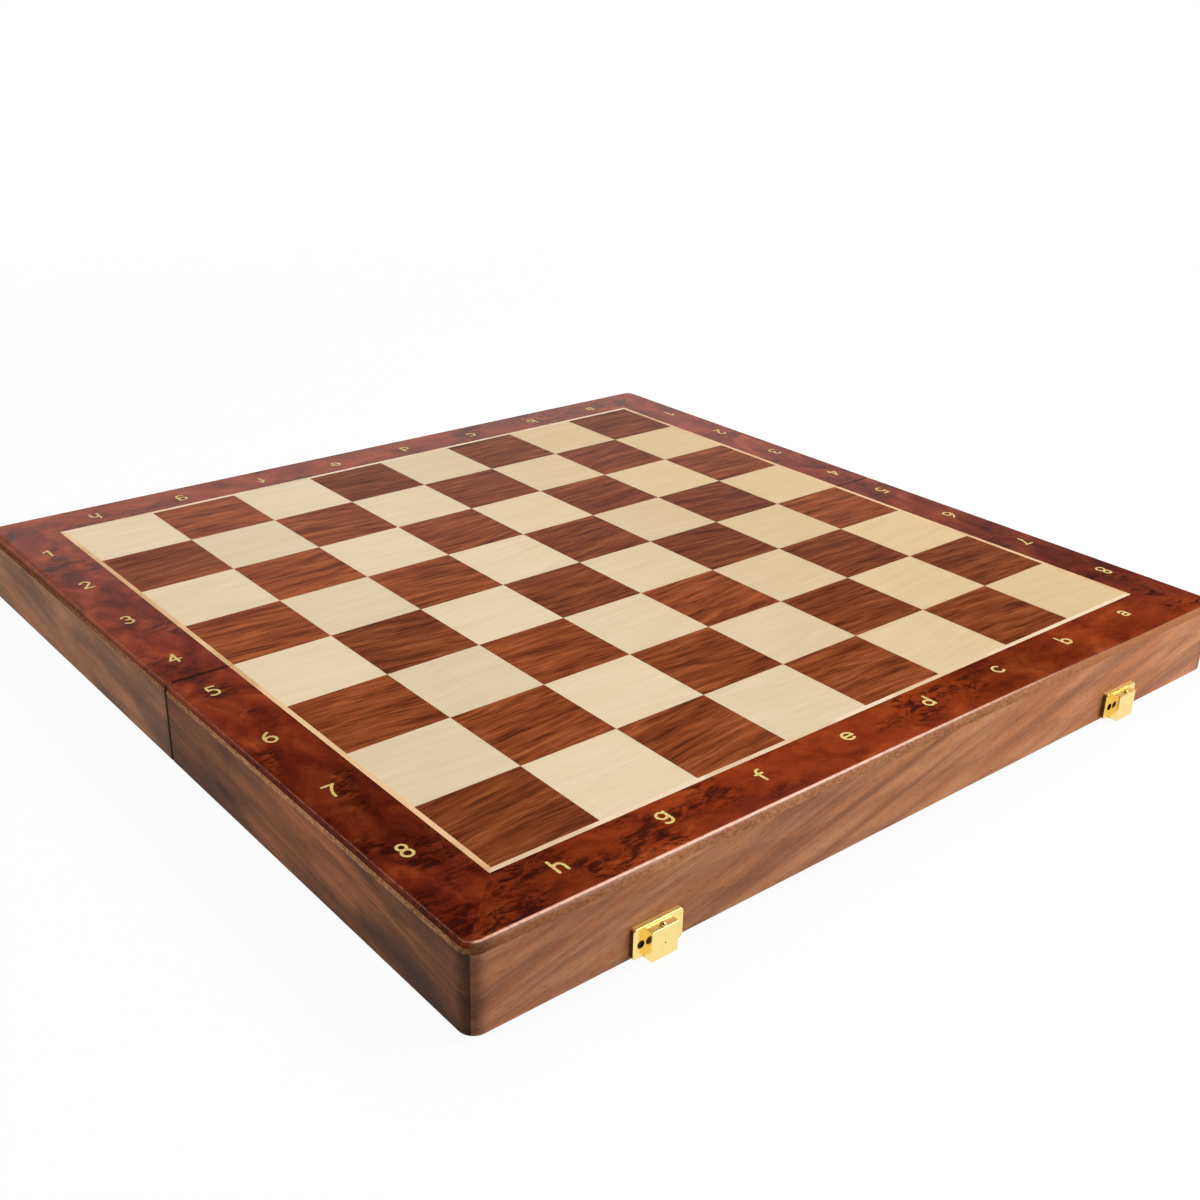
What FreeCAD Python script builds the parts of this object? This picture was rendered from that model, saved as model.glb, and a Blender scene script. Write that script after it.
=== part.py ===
# Folding chess board: two shallow walnut cases, hinged together underneath along the seam.
# Open, they lie side by side as the board. Folded, they close into a box with two latches.
# X runs along the near edge, Y from the near edge to the far edge and Z up.
# The origin is the middle of the open board, level with the undersides of the hinge barrels.
import FreeCAD, Part
import math
import os
import re
import Sketcher

doc = FreeCAD.newDocument("folding_chess_board")
sheet = doc.addObject("Spreadsheet::Sheet", "sizes")
nodes = []

KNUCKLES = 5
FILES = 8
RANKS_PER_HALF = 4

# Driving sizes in millimetres
SIZES = {
    # playing surface
    "square_side": 41.0,
    "stringing_width": 2.0,
    "border_width": 22.0,
    "veneer_thickness": 0.6,
    # case
    "case_height": 32.0,
    "rail_thickness": 11.0,
    "panel_thickness": 3.2,
    "arris_radius": 3.0,
    "corner_radius": 5.5,
    "rim_edge_radius": 1.0,
    "seam_edge_radius": 0.8,
    "felt_thickness": 1.2,
    "felt_clearance": 0.3,
    "seam_clearance": 0.2,
    "closing_clearance": 0.1,
    # coordinates on the border
    "glyph_height": 8.0,
    "glyph_thickness": 0.15,
    "letter_inset": 9.2,
    "letter_spread": 1.0,
    "letter_shift": 1.1,
    "number_inset": 13.3,
    "number_spread": 1.2,
    "number_seam_shift": 4.3,
    "number_shift": 1.3,
    # butt hinges under the seam
    "hinge_margin": 45.0,
    "hinge_length": 40.0,
    "barrel_radius": 1.4,
    "barrel_clearance": 0.2,
    "knuckle_clearance": 0.15,
    "leaf_margin": 1.6,
    "leaf_thickness": 0.9,
    "leaf_corner_radius": 1.0,
    "hinge_pin_radius": 0.6,
    "pin_clearance": 0.05,
    "screw_end_distance": 6.0,
    "screw_head_radius": 1.9,
    "screw_head_height": 0.8,
    "screw_shank_radius": 1.1,
    "screw_length": 8.0,
    "screw_slot_width": 0.5,
    "screw_slot_depth": 0.4,
    # catches on the near wall
    "latch_margin": 68.0,
    "catch_width": 20.0,
    "catch_bottom": 1.0,
    "catch_height": 11.0,
    "catch_thickness": 1.8,
    "catch_corner_radius": 1.2,
    "block_width": 10.6,
    "block_bottom": 0.2,
    "block_height": 10.8,
    "brass_edge_radius": 0.2,
    "stud_radius": 1.05,
    "stud_clearance": 0.2,
    "stud_margin": 0.2,
    "stud_rise": 0.15,
    "stud_shank_radius": 0.55,
    "stud_shank_length": 4.0,
    "dimple_radius": 0.4,
    "dimple_height": 5.2,
    # nails of the latches
    "nail_edge_distance": 3.0,
    "nail_drop": 0.6,
    "nail_recess_radius": 1.45,
    "nail_recess_depth": 1.0,
    "nail_head_radius": 1.25,
    "nail_head_height": 0.5,
    "nail_shank_radius": 0.7,
    "nail_length": 8.5,
    # hasps on the far wall
    "sheet_thickness": 0.5,
    "hasp_drop": 3.0,
    "hasp_wall_clearance": 0.2,
    "catch_clearance": 0.2,
    "hasp_pin_radius": 0.55,
    "hasp_side_clearance": 0.3,
    "loop_clearance": 0.5,
    "loop_side_clearance": 0.2,
    "loop_bar_width": 2.3,
    "loop_end_width": 2.4,
    "loop_corner_radius": 1.4,
    "hasp_base_height": 9.2,
    "hasp_nail_edge_distance": 2.5,
    # how far a cut reaches past the surface that it opens
    "overrun": 1.0,
    # how close two numbers are when edges are picked for rounding
    "match_tolerance": 0.01,
}

# Sizes that follow from the driving ones
FOLLOWING = {
    "field_half": "%d * square_side" % (FILES // 2),
    "stringing_half": "field_half + stringing_width",
    "border_half": "stringing_half + border_width",
    "half_length": "border_half + arris_radius",
    "rail_inside": "half_length - rail_thickness",
    "border_corner_radius": "corner_radius - arris_radius",
    "axis_height": "barrel_radius",
    "rim_height": "axis_height + closing_clearance",
    "top_height": "rim_height + case_height",
    "panel_top": "top_height - veneer_thickness",
    "panel_bottom": "panel_top - panel_thickness",
    "rail_height": "panel_bottom - rim_height",
    "seam_rail_inside": "seam_clearance + rail_thickness",
    "leaf_edge": "barrel_radius + barrel_clearance",
    "leaf_end": "seam_rail_inside - leaf_margin",
    "leaf_width": "leaf_end - leaf_edge",
    "knuckle_pitch": "hinge_length / %d" % KNUCKLES,
    "knuckle_length": "knuckle_pitch - knuckle_clearance",
    "hinge_bore_radius": "hinge_pin_radius + pin_clearance",
    "hinge_start": "hinge_margin - rail_inside",
    "hinge_place": "rail_inside - hinge_margin - hinge_length / 2",
    "latch_place": "half_length - latch_margin",
    "screw_line": "leaf_edge + leaf_width / 2",
    "screw_pitch": "hinge_length / 2 - screw_end_distance",
    "hasp_axis_height": "rim_height + hasp_drop",
    "hasp_axis_standoff": "(hasp_wall_clearance + sheet_thickness + catch_clearance + catch_thickness) / 2",
    "hasp_knuckle_radius": "hasp_axis_standoff - hasp_wall_clearance",
    "hasp_bore_radius": "hasp_pin_radius + pin_clearance",
    "stud_standoff": "2 * hasp_axis_standoff - hasp_wall_clearance + stud_clearance + stud_radius",
    "block_top": "block_bottom + block_height",
    "block_front": "stud_standoff + stud_radius + stud_margin",
    "nail_spread": "catch_width - 2 * nail_edge_distance",
    "nail_height": "catch_bottom + catch_height / 2 - nail_drop",
    "window_half": "block_width / 2 + loop_side_clearance",
    "loop_half": "window_half + loop_bar_width",
    "window_end": "hasp_drop + 2 * closing_clearance + block_top + loop_clearance",
    "loop_end": "window_end + loop_end_width",
    "hasp_base_half": "window_half - hasp_side_clearance",
    "hasp_nail_spread": "2 * hasp_base_half - 2 * hasp_nail_edge_distance",
    "hasp_nail_height": "(hasp_knuckle_radius + hasp_base_height) / 2",
    "letter_line": "stringing_half + letter_inset",
    "letter_pitch": "square_side + letter_spread",
    "number_line": "stringing_half + number_inset",
    "number_pitch": "square_side + number_spread",
    "number_start": "square_side / 2 - number_seam_shift",
}

# Stroke centre lines of each glyph, as shares of the glyph height about its middle.
# Two points are a straight stroke, three an arc, and a point with a radius is a ring.
STROKE_WIDTH_SHARE = 0.13
GLYPH_SHARES = {
    "1": [((-0.20, 0.22), (0.08, 0.425)), ((0.08, 0.425), (0.08, -0.425))],
    "2": [((-0.22, 0.25), (0.02, 0.425), (0.20, 0.09)), ((0.20, 0.09), (-0.22, -0.425)),
          ((-0.22, -0.425), (0.24, -0.425))],
    "3": [((-0.21, 0.32), (0.17, 0.24), (-0.05, 0.02)), ((-0.05, 0.02), (0.20, -0.20), (-0.22, -0.32))],
    "4": [((0.08, 0.425), (-0.25, -0.16)), ((-0.25, -0.16), (0.26, -0.16)), ((0.08, 0.425), (0.08, -0.425))],
    "5": [((0.20, 0.425), (-0.16, 0.425)), ((-0.16, 0.425), (-0.19, 0.06)),
          ((-0.19, 0.06), (0.22, -0.15), (-0.22, -0.35))],
    "6": [((0.0, -0.18), 0.24), ((-0.24, -0.18), (-0.17, 0.17), (0.12, 0.425))],
    "7": [((-0.25, 0.425), (0.23, 0.425)), ((0.23, 0.425), (0.0, 0.08), (-0.10, -0.425))],
    "8": [((0.0, 0.235), 0.19), ((0.0, -0.20), 0.225)],
    "a": [((-0.18, 0.16), (0.02, 0.27), (0.19, 0.09)), ((0.19, 0.09), (0.19, -0.275)),
          ((0.19, 0.02), (-0.04, 0.02)), ((-0.04, 0.02), (-0.19, -0.13), (-0.04, -0.275)),
          ((-0.04, -0.275), (0.19, -0.19))],
    "b": [((-0.21, 0.40), (-0.21, -0.38)), ((0.03, -0.16), 0.225)],
    "c": [((0.19, 0.20), (-0.275, 0.0), (0.19, -0.20))],
    "d": [((0.21, 0.40), (0.21, -0.38)), ((-0.03, -0.16), 0.225)],
    "e": [((0.275, 0.0), (-0.275, 0.0), (0.19, -0.20)), ((-0.275, 0.0), (0.275, 0.0))],
    "f": [((0.19, 0.39), (-0.02, 0.30), (-0.06, 0.17)), ((-0.06, 0.17), (-0.06, -0.40)),
          ((-0.22, 0.10), (0.15, 0.10))],
    "g": [((-0.03, 0.17), 0.225), ((0.21, 0.38), (0.21, -0.15)),
          ((0.21, -0.15), (0.02, -0.39), (-0.20, -0.31))],
    "h": [((-0.21, 0.40), (-0.21, -0.40)), ((-0.21, -0.10), (0.0, 0.11), (0.21, -0.10)),
          ((0.21, -0.10), (0.21, -0.40))],
}


# Sheet, expressions and the small shapes that everything is built from

def fill_sheet():
    rows = [(name, str(size)) for name, size in SIZES.items()]
    rows += [(name, "=" + text) for name, text in FOLLOWING.items()]
    for row, (name, text) in enumerate(rows, start=1):
        sheet.set("A%d" % row, name)
        sheet.set("B%d" % row, text)
        sheet.setAlias("B%d" % row, name)
    doc.recompute()


def size(name):
    return float(sheet.get(name))


def bind(thing, prop, text):
    named = re.sub(r"[a-z_]+", lambda word: "sizes." + word.group(), text)
    thing.setExpression(prop, named)


def place(thing, x, y, z):
    bind(thing, "Placement.Base.x", x)
    bind(thing, "Placement.Base.y", y)
    bind(thing, "Placement.Base.z", z)


def box(name, corner, lengths):
    solid = doc.addObject("Part::Box", name)
    place(solid, *corner)
    for prop, text in zip(("Length", "Width", "Height"), lengths):
        bind(solid, prop, text)
    return solid


TURNS = {
    "x": FreeCAD.Rotation(FreeCAD.Vector(0, 1, 0), 90),
    "y": FreeCAD.Rotation(FreeCAD.Vector(1, 0, 0), -90),
    "z": FreeCAD.Rotation(),
}


def cylinder(name, axis, start, radius, length):
    solid = doc.addObject("Part::Cylinder", name)
    solid.Placement = FreeCAD.Placement(FreeCAD.Vector(), TURNS[axis])
    place(solid, *start)
    bind(solid, "Radius", radius)
    bind(solid, "Height", length)
    return solid


def sphere(name, middle, radius):
    solid = doc.addObject("Part::Sphere", name)
    place(solid, *middle)
    bind(solid, "Radius", radius)
    return solid


def group(name, solids):
    several = doc.addObject("Part::Compound", name)
    several.Links = solids
    return several


def fuse(name, solids):
    whole = doc.addObject("Part::MultiFuse", name)
    whole.Shapes = solids
    return whole


def cut(name, base, tools):
    rest = doc.addObject("Part::Cut", name)
    rest.Base = base
    rest.Tool = tools[0] if len(tools) == 1 else group(name + "_tools", tools)
    return rest


def common(name, first, second):
    shared = doc.addObject("Part::MultiCommon", name)
    shared.Shapes = [first, second]
    return shared


def mirrored(name, source, axis):
    copy = doc.addObject("Part::Mirroring", name)
    copy.Source = source
    copy.Normal = axis
    return copy


ACROSS = FreeCAD.Vector(1, 0, 0)
ALONG = FreeCAD.Vector(0, 1, 0)


def mirror_images(pieces):
    return [mirrored("right_" + piece.Name, piece, ACROSS) for piece in pieces]


def node(label, thing):
    thing.Label = label
    nodes.append(thing)
    return thing


# Bodies drawn as sketches with straight sides, padded and rounded

def new_body(name):
    return doc.addObject("PartDesign::Body", name)


def outline(body, name, role, corners, offset):
    sketch = body.newObject("Sketcher::SketchObject", name)
    support = [plane for plane in body.Origin.OriginFeatures if plane.Role == role]
    sketch.AttachmentSupport = (support[0], [""])
    sketch.MapMode = "FlatFace"
    bind(sketch, "AttachmentOffset.Base.z", offset)
    count = len(corners)
    turns = [2 * math.pi * n / count for n in range(count + 1)]
    starts = [FreeCAD.Vector(math.cos(turn), math.sin(turn), 0) for turn in turns]
    for n in range(count):
        sketch.addGeometry(Part.LineSegment(starts[n], starts[n + 1]), False)
    for n in range(count):
        sketch.addConstraint(Sketcher.Constraint("Coincident", n, 2, (n + 1) % count, 1))
    for n, (across, up) in enumerate(corners):
        for kind, text, start in (("DistanceX", across, starts[n].x), ("DistanceY", up, starts[n].y)):
            row = sketch.addConstraint(Sketcher.Constraint(kind, -1, 1, n, 1, start))
            bind(sketch, "Constraints[%d]" % row, text)
    return sketch


def pad(body, sketch, length, backwards=False):
    feature = body.newObject("PartDesign::Pad", sketch.Name + "_pad")
    feature.Profile = sketch
    feature.Reversed = backwards
    bind(feature, "Length", length)
    doc.recompute()
    return feature


def rounded(body, base, radius, wanted):
    names = ["Edge%d" % n for n, edge in enumerate(base.Shape.Edges, start=1) if wanted(edge.BoundBox)]
    feature = body.newObject("PartDesign::Fillet", base.Name + "_rounded")
    feature.Base = (base, names)
    bind(feature, "Radius", radius)
    doc.recompute()
    return feature


def near(a, b):
    return abs(a - b) < size("match_tolerance")


def upright(extent):
    return near(extent.XLength, 0) and near(extent.YLength, 0)


def at_seam(extent):
    return near(extent.YMin, -size("seam_clearance"))


def slab(name, half, bottom, height, radius):
    """A near half's outline with its two outer corners rounded."""
    body = new_body(name)
    corners = [("-" + half, "-" + half), (half, "-" + half), (half, "-seam_clearance"),
               ("-" + half, "-seam_clearance")]
    first = pad(body, outline(body, name + "_outline", "XY_Plane", corners, bottom), height)
    return body, rounded(body, first, radius, lambda extent: upright(extent) and not at_seam(extent))


def strip(name, corners, bottom, height):
    body = new_body(name)
    pad(body, outline(body, name + "_outline", "XY_Plane", corners, bottom), height)
    return body


def front_strip(name, outside, inside, bottom, height):
    corners = [("-" + outside, "-" + outside), (outside, "-" + outside), (inside, "-" + inside),
               ("-" + inside, "-" + inside)]
    return strip(name, corners, bottom, height)


def left_strip(name, outside, inside, bottom, height):
    corners = [("-" + outside, "-" + outside), ("-" + inside, "-" + inside),
               ("-" + inside, "-seam_clearance"), ("-" + outside, "-seam_clearance")]
    return strip(name, corners, bottom, height)


def four_ways(part, near_left):
    """A piece on the left of the near half, and its mirror images in the other three quarters."""
    node("near_left_" + part, near_left)
    near_right = node("near_right_" + part, mirrored("near_right_" + part, near_left, ACROSS))
    node("far_left_" + part, mirrored("far_left_" + part, near_left, ALONG))
    node("far_right_" + part, mirrored("far_right_" + part, near_right, ALONG))


def both_halves(part, near_piece):
    node("near_" + part, near_piece)
    node("far_" + part, mirrored("far_" + part, near_piece, ALONG))


def both_sides(part, left_piece):
    node("left_" + part, left_piece)
    node("right_" + part, mirrored("right_" + part, left_piece, ACROSS))


# Fasteners

def screw(name, x, y):
    head = doc.addObject("Part::Cone", name + "_head")
    place(head, x, y, "rim_height")
    bind(head, "Radius1", "screw_head_radius")
    bind(head, "Radius2", "screw_shank_radius")
    bind(head, "Height", "screw_head_height")
    shank = cylinder(name + "_shank", "z", (x, y, "rim_height"), "screw_shank_radius", "screw_length")
    return fuse(name, [head, shank])


def slotted(name, blank, x, y):
    corner = (x + " - screw_head_radius", y + " - screw_slot_width / 2", "rim_height - overrun")
    lengths = ("2 * screw_head_radius", "screw_slot_width", "screw_slot_depth + overrun")
    slot = box(name + "_slot", corner, lengths)
    return cut(name + "_slotted", blank, [slot])


def nail(name, x, underside, z, side):
    """A nail in the near wall (side -1) or the far wall (side 1), its head resting at y = underside."""
    head_start = underside + " - nail_head_height" if side < 0 else underside
    shank_start = underside if side < 0 else underside + " - nail_length"
    head = cylinder(name + "_head", "y", (x, head_start, z), "nail_head_radius", "nail_head_height")
    shank = cylinder(name + "_shank", "y", (x, shank_start, z), "nail_shank_radius", "nail_length")
    return fuse(name, [head, shank])


# Butt hinges

def hinge_leaf(name, numbers, side):
    """One leaf of the left hinge: side is -1 for the near leaf and 1 for the far one."""
    sign = "-" if side < 0 else ""
    hinge_end = "hinge_start + hinge_length"
    corners = [("hinge_start", sign + "leaf_edge"), (hinge_end, sign + "leaf_edge"),
               (hinge_end, sign + "leaf_end"), ("hinge_start", sign + "leaf_end")]
    body = new_body(name + "_plate")
    plate = pad(body, outline(body, name + "_outline", "XY_Plane", corners, "rim_height"), "leaf_thickness")
    rounded(body, plate, "leaf_corner_radius",
            lambda extent: near(extent.XLength + extent.YLength, 0) and abs(extent.YMin) > size("screw_line"))
    pieces = [body]
    for n in numbers:
        left = "hinge_start + %d * knuckle_pitch + knuckle_clearance / 2" % n
        pieces.append(cylinder(name + "_knuckle_%d" % n, "x", (left, "0", "axis_height"),
                               "barrel_radius", "knuckle_length"))
        pieces.append(box(name + "_wrap_%d" % n, (left, "-leaf_edge" if side < 0 else "0", "rim_height"),
                          ("knuckle_length", "leaf_edge", "leaf_thickness")))
    bore = cylinder(name + "_bore", "x", ("hinge_start - overrun", "0", "axis_height"),
                    "hinge_bore_radius", "hinge_length + 2 * overrun")
    return cut(name + "_bored", fuse(name + "_solid", pieces), [bore])


def build_hinges():
    places = [("-hinge_place + %d * screw_pitch" % n, "-screw_line") for n in (-1, 0, 1)]
    blanks = [screw("hinge_screw_%d" % n, *at) for n, at in enumerate(places)]
    slotted_screws = [slotted("hinge_screw_%d" % n, blanks[n], *at) for n, at in enumerate(places)]
    near_screws = group("near_screws", slotted_screws)
    far_blanks = mirrored("far_screw_blanks", group("near_screw_blanks", blanks), ALONG)
    near_leaf = hinge_leaf("near_leaf", range(0, KNUCKLES, 2), -1)
    far_leaf = hinge_leaf("far_leaf", range(1, KNUCKLES, 2), 1)
    both_sides("hinge_near_leaf", cut("near_leaf_drilled", near_leaf, blanks))
    both_sides("hinge_far_leaf", cut("far_leaf_drilled", far_leaf, [far_blanks]))
    both_sides("hinge_near_screws", near_screws)
    both_sides("hinge_far_screws", mirrored("far_screws", near_screws, ALONG))
    pin = cylinder("hinge_pin", "x", ("hinge_start", "0", "axis_height"), "hinge_pin_radius", "hinge_length")
    both_sides("hinge_pin", pin)
    return blanks


def hinge_seat():
    """What a seam rail loses to a leaf let in flush and to the barrel beside it."""
    low = "rim_height - overrun"
    leaf = box("leaf_seat", ("hinge_start", "-leaf_end", low),
               ("hinge_length", "leaf_width", "leaf_thickness + overrun"))
    groove = box("barrel_groove", ("hinge_start", "-leaf_edge", low),
                 ("hinge_length", "leaf_edge", "axis_height + leaf_edge - rim_height + overrun"))
    return [leaf, groove]


# Latches

def upright_plate(body, name, half_width, low, high, depth):
    """A plate or block of a latch, padded out from the near wall."""
    left = "-latch_place - " + half_width
    right = "-latch_place + " + half_width
    corners = [(left, low), (right, low), (right, high), (left, high)]
    return pad(body, outline(body, name, "XZ_Plane", corners, "half_length"), depth)


def build_catches():
    """A plate with a raised block nailed to the near wall, and the stud that holds the hasp's loop."""
    body = new_body("catch_body")
    low = "rim_height + catch_bottom"
    plate = upright_plate(body, "catch_plate", "catch_width / 2", low, low + " + catch_height", "catch_thickness")
    rounded(body, plate, "catch_corner_radius", lambda extent: near(extent.XLength + extent.ZLength, 0))
    low = "rim_height + block_bottom"
    top = "rim_height + block_top"
    blank = upright_plate(body, "catch_block", "block_width / 2", low, top, "block_front")
    front = -size("half_length") - size("catch_thickness")
    rounded(body, blank, "brass_edge_radius", lambda extent: extent.YMin < front - size("match_tolerance")
            or near(extent.YMax, front) and extent.ZMin > size("rim_height") + size("block_top"))
    z = "rim_height + nail_height"
    nails = []
    recesses = []
    for n, side in enumerate("-+"):
        x = "-latch_place %s nail_spread / 2" % side
        face = "-half_length - catch_thickness"
        nails.append(nail("catch_nail_%d" % n, x, face + " + nail_recess_depth", z, -1))
        recesses.append(cylinder("nail_recess_%d" % n, "y", (x, face + " - overrun", z),
                                 "nail_recess_radius", "nail_recess_depth + overrun"))
    middle = ("-latch_place", "-half_length - stud_standoff")
    ball = sphere("stud_ball", (*middle, top + " + stud_rise"), "stud_radius")
    shank = cylinder("stud_shank", "z", (*middle, top + " - stud_shank_length"), "stud_shank_radius",
                     "stud_shank_length")
    stud = fuse("stud", [ball, shank])
    dimple = sphere("dimple", ("-latch_place", "-half_length - block_front", "rim_height + dimple_height"),
                    "dimple_radius")
    both_sides("catch", cut("catch_drilled", body, [*nails, *recesses, stud, dimple]))
    both_sides("catch_stud", stud)
    both_sides("catch_nails", group("catch_nail_pair", nails))
    return nails


def hasp_cylinder(name, left, radius, length):
    start = ("-latch_place + " + left, "half_length + hasp_axis_standoff", "hasp_axis_height")
    return cylinder(name, "x", start, radius, length)


def hasp_loop(bore):
    """A U of sheet round its window, with a knuckle at the foot of each side bar."""
    places = [("loop_half", "0"), ("loop_half", "loop_end"), ("-loop_half", "loop_end"),
              ("-loop_half", "0"), ("-window_half", "0"), ("-window_half", "window_end"),
              ("window_half", "window_end"), ("window_half", "0")]
    corners = [("-latch_place + " + x, "hasp_axis_height + " + z) for x, z in places]
    body = new_body("hasp_loop_sheet")
    drawn = outline(body, "hasp_loop", "XZ_Plane", corners, "-half_length - hasp_wall_clearance")
    blank = pad(body, drawn, "sheet_thickness", True)
    end = size("hasp_axis_height") + size("loop_end")
    rounded(body, blank, "loop_corner_radius",
            lambda extent: near(extent.XLength + extent.ZLength, 0) and near(extent.ZMax, end))
    knuckles = [hasp_cylinder("loop_knuckle_left", "-loop_half", "hasp_knuckle_radius", "loop_bar_width"),
                hasp_cylinder("loop_knuckle_right", "window_half", "hasp_knuckle_radius", "loop_bar_width")]
    return cut("hasp_loop_bored", fuse("hasp_loop_solid", [body, *knuckles]), [bore])


def build_hasps():
    """A loop on a pin, folded up against the far wall round the base plate that carries the pin."""
    bore = hasp_cylinder("hasp_bore", "-loop_half - overrun", "hasp_bore_radius", "2 * (loop_half + overrun)")
    width = "2 * hasp_base_half"
    plate = box("hasp_base_plate", ("-latch_place - hasp_base_half", "half_length", "hasp_axis_height"),
                (width, "sheet_thickness", "hasp_base_height"))
    knuckle = hasp_cylinder("hasp_base_knuckle", "-hasp_base_half", "hasp_knuckle_radius", width)
    nails = []
    for n, side in enumerate("-+"):
        x = "-latch_place %s hasp_nail_spread / 2" % side
        z = "hasp_axis_height + hasp_nail_height"
        nails.append(nail("hasp_nail_%d" % n, x, "half_length + sheet_thickness", z, 1))
    both_sides("hasp_base", cut("hasp_base", fuse("hasp_base_solid", [plate, knuckle]), [bore, *nails]))
    both_sides("hasp_loop", hasp_loop(bore))
    both_sides("hasp_pin", hasp_cylinder("hasp_pin", "-loop_half", "hasp_pin_radius", "2 * loop_half"))
    both_sides("hasp_nails", group("hasp_nail_pair", nails))
    return nails


# Case halves

def build_rails(screws, catch_nails, hasp_nails):
    body, blank = slab("case_blank", "half_length", "rim_height", "rail_height", "corner_radius")
    low = size("rim_height")
    eased = rounded(body, blank, "seam_edge_radius", lambda extent: upright(extent) and at_seam(extent))
    rounded(body, eased, "rim_edge_radius", lambda extent: near(extent.ZMax, low) and not at_seam(extent))
    front = front_strip("front_rail", "half_length", "rail_inside", "rim_height", "rail_height")
    outer = common("outer_rail", body, front)
    node("near_outer_rail", cut("near_outer_rail", outer, catch_nails + mirror_images(catch_nails)))
    far_outer = mirrored("far_outer_blank", outer, ALONG)
    node("far_outer_rail", cut("far_outer_rail", far_outer, hasp_nails + mirror_images(hasp_nails)))
    side = left_strip("side_rail", "half_length", "rail_inside", "rim_height", "rail_height")
    four_ways("rail", common("left_rail", body, side))
    seam = box("seam_rail", ("-rail_inside", "-seam_rail_inside", "rim_height"),
               ("2 * rail_inside", "rail_thickness", "rail_height"))
    seat = hinge_seat() + screws
    both_halves("seam_rail", cut("seam_rail_cut", seam, seat + mirror_images(seat)))


def build_panels():
    """A panel whose rounded rim stands as high as the veneers let into it."""
    depth = "panel_thickness + veneer_thickness"
    body, blank = slab("panel_blank", "half_length", "panel_bottom", depth, "corner_radius")
    high = size("top_height")
    low = size("panel_bottom")
    arris = rounded(body, blank, "arris_radius", lambda extent: near(extent.ZMin, high) and not at_seam(extent))
    rounded(body, arris, "seam_edge_radius", lambda extent: at_seam(extent) and not near(extent.ZMax, low))
    bed, _ = slab("veneer_bed", "border_half", "panel_top", "veneer_thickness", "border_corner_radius")
    both_halves("top_panel", cut("top_panel_with_bed", body, [bed]))
    width = "rail_inside - seam_rail_inside - 2 * felt_clearance"
    felt = box("felt", ("-rail_inside + felt_clearance", "-rail_inside + felt_clearance",
                        "panel_bottom - felt_thickness"),
               ("2 * rail_inside - 2 * felt_clearance", width, "felt_thickness"))
    both_halves("felt_lining", felt)
    return bed


# Playing surface

def build_border(bed):
    front = front_strip("front_border", "border_half", "stringing_half", "panel_top", "veneer_thickness")
    both_halves("outer_border", common("outer_border", bed, front))
    side = left_strip("side_border", "border_half", "stringing_half", "panel_top", "veneer_thickness")
    four_ways("border", common("left_border", bed, side))


def build_stringing():
    sizes = ("stringing_half", "field_half", "panel_top", "veneer_thickness")
    both_halves("outer_stringing", front_strip("front_stringing", *sizes))
    four_ways("stringing", left_strip("side_stringing", *sizes))


def build_squares():
    """Dark and light veneers. Mirroring in the seam turns the dark places into the light ones."""
    colours = {"dark": [], "light": []}
    for rank in range(RANKS_PER_HALF):
        depth = "square_side - seam_clearance" if rank == RANKS_PER_HALF - 1 else "square_side"
        for file in range(FILES):
            colour = "dark" if (file + rank) % 2 == 0 else "light"
            x, y = ["%d * square_side - field_half" % n for n in (file, rank)]
            lengths = ("square_side", depth, "veneer_thickness")
            colours[colour].append(box("square_%d_%d" % (file, rank), (x, y, "panel_top"), lengths))
    dark = node("near_dark_squares", group("near_dark_squares", colours["dark"]))
    light = node("near_light_squares", group("near_light_squares", colours["light"]))
    node("far_dark_squares", mirrored("far_dark_squares", light, ALONG))
    node("far_light_squares", mirrored("far_light_squares", dark, ALONG))


# Coordinates round the border

def ring_stroke(middle, radius, half, thickness):
    disc = Part.makeCylinder(radius + half, thickness, middle)
    return disc.cut(Part.makeCylinder(radius - half, thickness, middle))


def open_stroke(points, half, thickness):
    """A stroke with round ends along the line through two points or the arc through three."""
    if len(points) == 2:
        along = (points[1] - points[0]).normalize()
        side = FreeCAD.Vector(-along.y, along.x, 0)
        sides = [side * half, side * half]
        tangents = [along * half, along * half]
    else:
        circle = Part.Arc(*points).toShape().Curve
        sides = [(point - circle.Center).normalize() * half for point in points]
        tangents = [circle.Axis.cross(side) for side in sides]
    kind = Part.LineSegment if len(points) == 2 else Part.Arc
    outer = [point + side for point, side in zip(points, sides)]
    inner = [point - side for point, side in zip(points, sides)]
    first_cap = Part.Arc(inner[0], points[0] - tangents[0], outer[0])
    last_cap = Part.Arc(outer[-1], points[-1] + tangents[-1], inner[-1])
    edges = [kind(*outer), last_cap, kind(*reversed(inner)), first_cap]
    face = Part.Face(Part.Wire([edge.toShape() for edge in edges]))
    return face.extrude(FreeCAD.Vector(0, 0, thickness))


def glyph(text, x, y, turned):
    height = size("glyph_height")
    half = height * STROKE_WIDTH_SHARE / 2
    thickness = size("glyph_thickness")
    strokes = []
    for shares in GLYPH_SHARES[text]:
        if isinstance(shares[-1], float):
            middle = FreeCAD.Vector(*shares[0], 0) * height
            strokes.append(ring_stroke(middle, shares[-1] * height, half, thickness))
        else:
            points = [FreeCAD.Vector(*share, 0) * height for share in shares]
            strokes.append(open_stroke(points, half, thickness))
    solid = strokes[0]
    for stroke in strokes[1:]:
        solid = solid.fuse(stroke)
    solid = solid.removeSplitter()
    turn = FreeCAD.Rotation(FreeCAD.Vector(0, 0, 1), 180 if turned else 0)
    solid.Placement = FreeCAD.Placement(FreeCAD.Vector(x, y, 0), turn)
    return solid


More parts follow.
